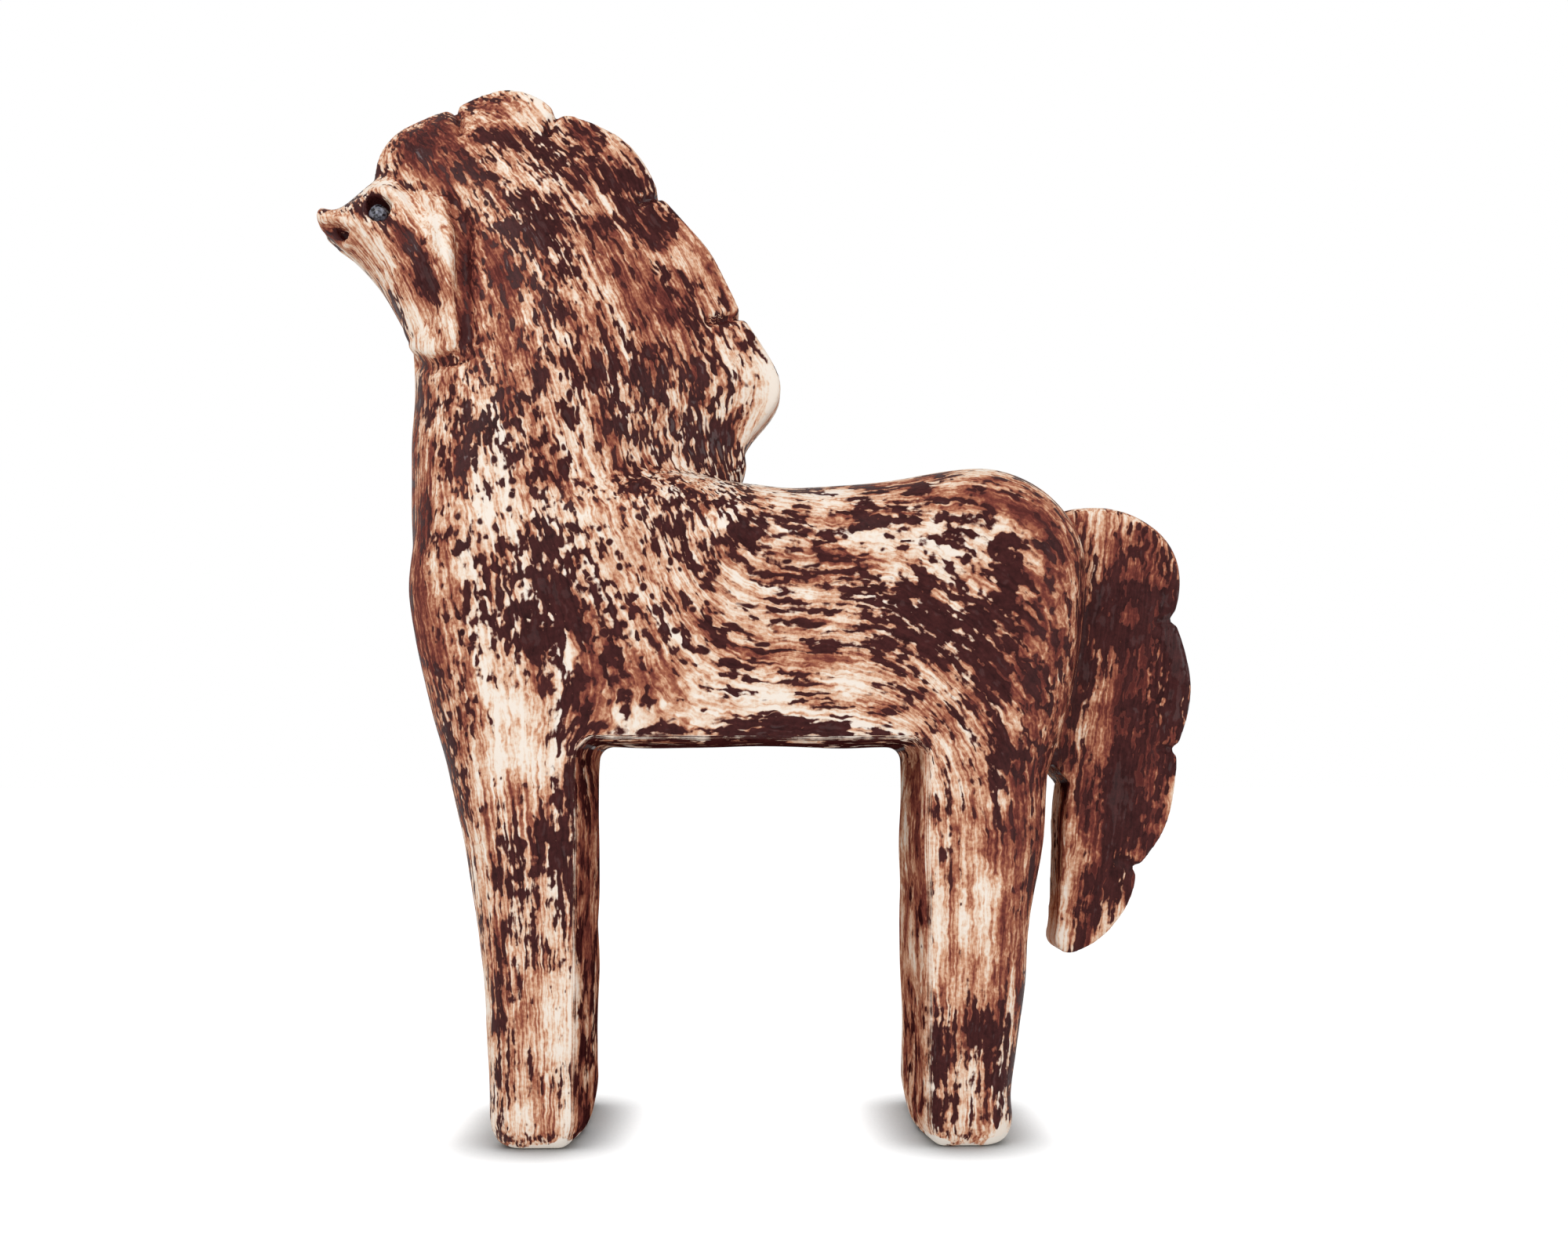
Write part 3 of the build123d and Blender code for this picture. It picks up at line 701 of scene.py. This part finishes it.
mark = add(tree, "Mix", {0: drag_in, 2: fleck, 3: soft_dash}).outputs[0]
torn = blots(3.2, 3.0)
mottle = weigh(
    (mark, 0.85, 0.5), (dash, 0.25, 0.5), (bristle, 0.15, 0.5), (blot, 0.6, 0.5), (torn, 0.35, 0.5),
    (grit, 0.06, 0.5), (pool_and_shade_in, 0.12, 0), (ridge_in, -0.04, 0),
)
thickness = add(tree, "Math", {0: mottle, 1: speck}, operation="MAXIMUM").outputs[0]
dark = step(thickness, 0.048, 0.06)
rust = step(thickness, -0.012, 0.058)
broad_layer = step(streaks(30.0, 8.0, 2.0), 0.5, 0.53)
lean_layer = step(streaks(38.0, 3.6, 2.0), 0.53, 0.56)
stain = weigh(
    (bristle, 0.8, 0.5), (stroke, 0.6, 0.5), (blot, 0.7, 0.5), (grit, 0.3, 0.5), (mark, 0.4, 0.5),
    (broad_layer, 0.09, 0.5), (lean_layer, 0.1, 0.5),
    (wash_and_shade_in, 0.2, 0), (pool_and_shade_in, 0.07, 0), (ridge_in, -0.08, 0), base=0.36,
)

# %% Glaze colours, gloss and relief
ramp = add(tree, "ValToRGB", {"Fac": stain})
stops = (
    (0.14, "#F8ECDF"), (0.25, "#F2DAC4"), (0.38, "#DCA887"),
    (0.5, "#AC6A50"), (0.64, "#7E4036"), (0.8, "#592A27"),
)
for index, (at, colour) in enumerate(stops):
    stop = ramp.color_ramp.elements[index] if index < 2 else ramp.color_ramp.elements.new(at)
    stop.position, stop.color = at, linear(colour)
rusty = add(tree, "Mix", {0: rust, 6: ramp.outputs["Color"], 7: linear("#65352F")}, data_type="RGBA")
depth = weigh((bristle, 1.6, 0.5), (torn, 1.2, 0.5), (grit, 0.8, 0.5), base=0.5)
deep = add(tree, "Mix", {0: depth, 6: linear("#2C0F10"), 7: linear("#4E2423")}, data_type="RGBA")
glazed = add(tree, "Mix", {0: dark, 6: rusty.outputs[2], 7: deep.outputs[2]}, data_type="RGBA")
height_in = add(tree, "SeparateXYZ", {0: place_in}).outputs["Z"]
sole_edge = weigh((height_in, PER_MM, 0), (blot, 14.0, 0.5), (torn, 5.0, 0.5))
bare = step(sole_edge, 1.7, 1.2)
colour = add(tree, "Mix", {0: bare, 6: glazed.outputs[2], 7: linear("#F3ECE2")}, data_type="RGBA")
gloss = add(tree, "MapRange", {"Value": dark, "To Min": 0.6, "To Max": 0.34})
flood = step(thickness, 0.22, 0.27)
glassy = add(tree, "Mix", {0: flood, 2: gloss.outputs[0], 3: 0.16})
dull = add(tree, "Mix", {0: bare, 2: glassy.outputs[0], 3: 0.8})
relief = weigh((dark, 1.0, 0), (bristle, 0.5, 0), (fleck, 0.5, 0), (grit, 0.15, 0))
bump = add(tree, "Bump", {"Height": relief, "Strength": 0.55, "Distance": 0.22 * MM})
wet = weigh((dark, 0.07, 0), (flood, 0.3, 0), base=0.05)
shine = add(tree, "MapRange", {"Value": dry_in, "To Min": wet, "To Max": 0.0}).outputs[0]
surface = {"Base Color": colour.outputs[2], "Roughness": dull.outputs[0], "Normal": bump.outputs[0]}
surface["Specular IOR Level"] = shine
shader = add(tree, "BsdfPrincipled", surface)
add(tree, "OutputMaterial", {"Surface": shader.outputs[0]})
print("glaze nodes:", len(tree.nodes))

# %% [markdown]
# ## Back to eleven members
# Each point of the skin belongs to the CAD member whose surface is nearest. The cuts fall inside the rubbed
# joints, and every member keeps the normals of the whole skin, so no line shows where one ends and the next
# begins. Each cut is closed with a fan of faces, which makes every member a closed solid again.

# %% Give every point to a member
corners, faces, owner = [], [], []
for number, name in enumerate(CLAY):
    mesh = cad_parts[name].data
    first = len(corners)
    corners.extend(v.co[:] for v in mesh.vertices)
    faces.extend([first + i for i in face.vertices] for face in mesh.polygons)
    owner.extend([number] * len(mesh.polygons))
members = BVHTree.FromPolygons(corners, faces)
belongs = np.array([owner[members.find_nearest(p)[2]] for p in point * MM])
share = relax(np.eye(len(CLAY))[belongs], 10)
quad_owner = share[quads].sum(1).argmax(1)
normal = normals_of(point)
print({name: int((quad_owner == k).sum()) for k, name in enumerate(CLAY)})

# %% Build the members
def close_up(mesh):
    """Fills each open cut with a fan of faces round a point inside it."""
    work = bmesh.new()
    work.from_mesh(mesh)
    filled = bmesh.ops.holes_fill(work, edges=[e for e in work.edges if e.is_boundary], sides=0)["faces"]
    bmesh.ops.poke(work, faces=filled)
    work.to_mesh(mesh)
    work.free()
    return len(filled)


# The inner faces of the legs get extra wash by their facing: partly thin glaze, partly painted shade.
fields = {"pool_and_shade": pool_and_shade, "wash": wash + INNER_WASH_AND_SHADE * inner, "ridge": ridge, "speckle": speckle, "drag": drag}
fields["dry"] = np.maximum(np.maximum(inner, belly), gap)
for number, name in enumerate(CLAY):
    own = quads[quad_owner == number]
    used, local = np.unique(own, return_inverse=True)
    local = local.reshape(own.shape)
    mesh = bpy.data.meshes.new(name + "_glazed")
    mesh.from_pydata((point[used] * MM).tolist(), [], local.tolist())
    cuts = close_up(mesh)
    mesh.update()
    fans = len(mesh.vertices) - len(used)
    rows = np.concatenate([flow[used], np.zeros((fans, 3))]).astype(np.float32)
    mesh.attributes.new("flow", "FLOAT_VECTOR", "POINT").data.foreach_set("vector", rows.ravel())
    for title, values in fields.items():
        column = np.concatenate([values[used], np.zeros(fans)]).astype(np.float32)
        mesh.attributes.new(title, "FLOAT", "POINT").data.foreach_set("value", column)
    mesh.shade_smooth()
    corner_normals = [normal[used[v]] for face in local for v in face]
    for face in list(mesh.polygons)[len(own):]:
        corner_normals.extend([face.normal] * face.loop_total)
    mesh.normals_split_custom_set(corner_normals)
    mesh.materials.append(glaze)
    piece = bpy.data.objects.new(name + "_glazed", mesh)
    bpy.context.scene.collection.objects.link(piece)
    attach(piece, "root")
    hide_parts(name)
    print(name, len(own), "quads,", cuts, "cuts closed")

# %% [markdown]
# ## Eyes
# Each eye is a small pellet of clay pressed into its socket and flooded with glaze, so it is smooth, dark
# and the glossiest thing on the horse. A ball a little squashed, with its top drawn in, gives it. It moves
# with its hollow. The pale blue-grey clouds in its colour are painted highlights.

# %% Make the eyes
eye_glaze, tree = new_material("flooded_iron_glaze")
CLOUD_MM, DRAWN_IN, SQUASH = 1.3, 0.1, 0.92
eye_place = add(tree, "TexCoord").outputs["Object"]
cloud = add(tree, "TexNoise", {"Vector": eye_place, "Scale": PER_MM / CLOUD_MM, "Detail": 4.0})
# Painted highlights: pale blue-grey clouds mixed into the dark colour of the pellet.
painted_highlight = add(tree, "MapRange", {0: cloud.outputs["Fac"], 1: 0.42, 2: 0.68})
tone = add(tree, "Mix", {0: painted_highlight.outputs[0], 6: linear("#141016"), 7: linear("#A2A4B4")}, data_type="RGBA")
dimple = add(tree, "Bump", {"Height": cloud.outputs["Fac"], "Strength": 0.4, "Distance": 0.2 * MM})
surface = {"Base Color": tone.outputs[2], "Roughness": 0.12, "IOR": 1.55, "Normal": dimple.outputs[0]}
shader = add(tree, "BsdfPrincipled", surface)
add(tree, "OutputMaterial", {"Surface": shader.outputs[0]})
for name in EYES:
    low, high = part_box(name)
    middle, half = (low + high) / 2 + Vector(EYE_SHIFT * MM), (high - low) / 2
    ball = bmesh.new()
    bmesh.ops.create_icosphere(ball, subdivisions=4, radius=1.0)
    for vert in ball.verts:
        x, y, z = vert.co
        narrow = 1 - DRAWN_IN * max(z, 0)
        vert.co = middle + Vector((x * half.x * narrow, y * half.y, z * half.z * SQUASH))
    mesh = bpy.data.meshes.new(name + "_pellet")
    ball.to_mesh(mesh)
    ball.free()
    mesh.shade_smooth()
    mesh.materials.append(eye_glaze)
    pellet = bpy.data.objects.new(name + "_pellet", mesh)
    bpy.context.scene.collection.objects.link(pellet)
    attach(pellet, "root")
    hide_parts(name)
    print(name, "pellet", len(mesh.polygons), "faces")

# %% [markdown]
# Hand shaping moves the outer box by less than a millimetre, so the size stays that of the CAD part. The box
# of the finished pieces is printed.

# %% Print the box of the finished pieces
low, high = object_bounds()
print("visual box:", [round(c / MM, 1) for c in high - low], "mm")
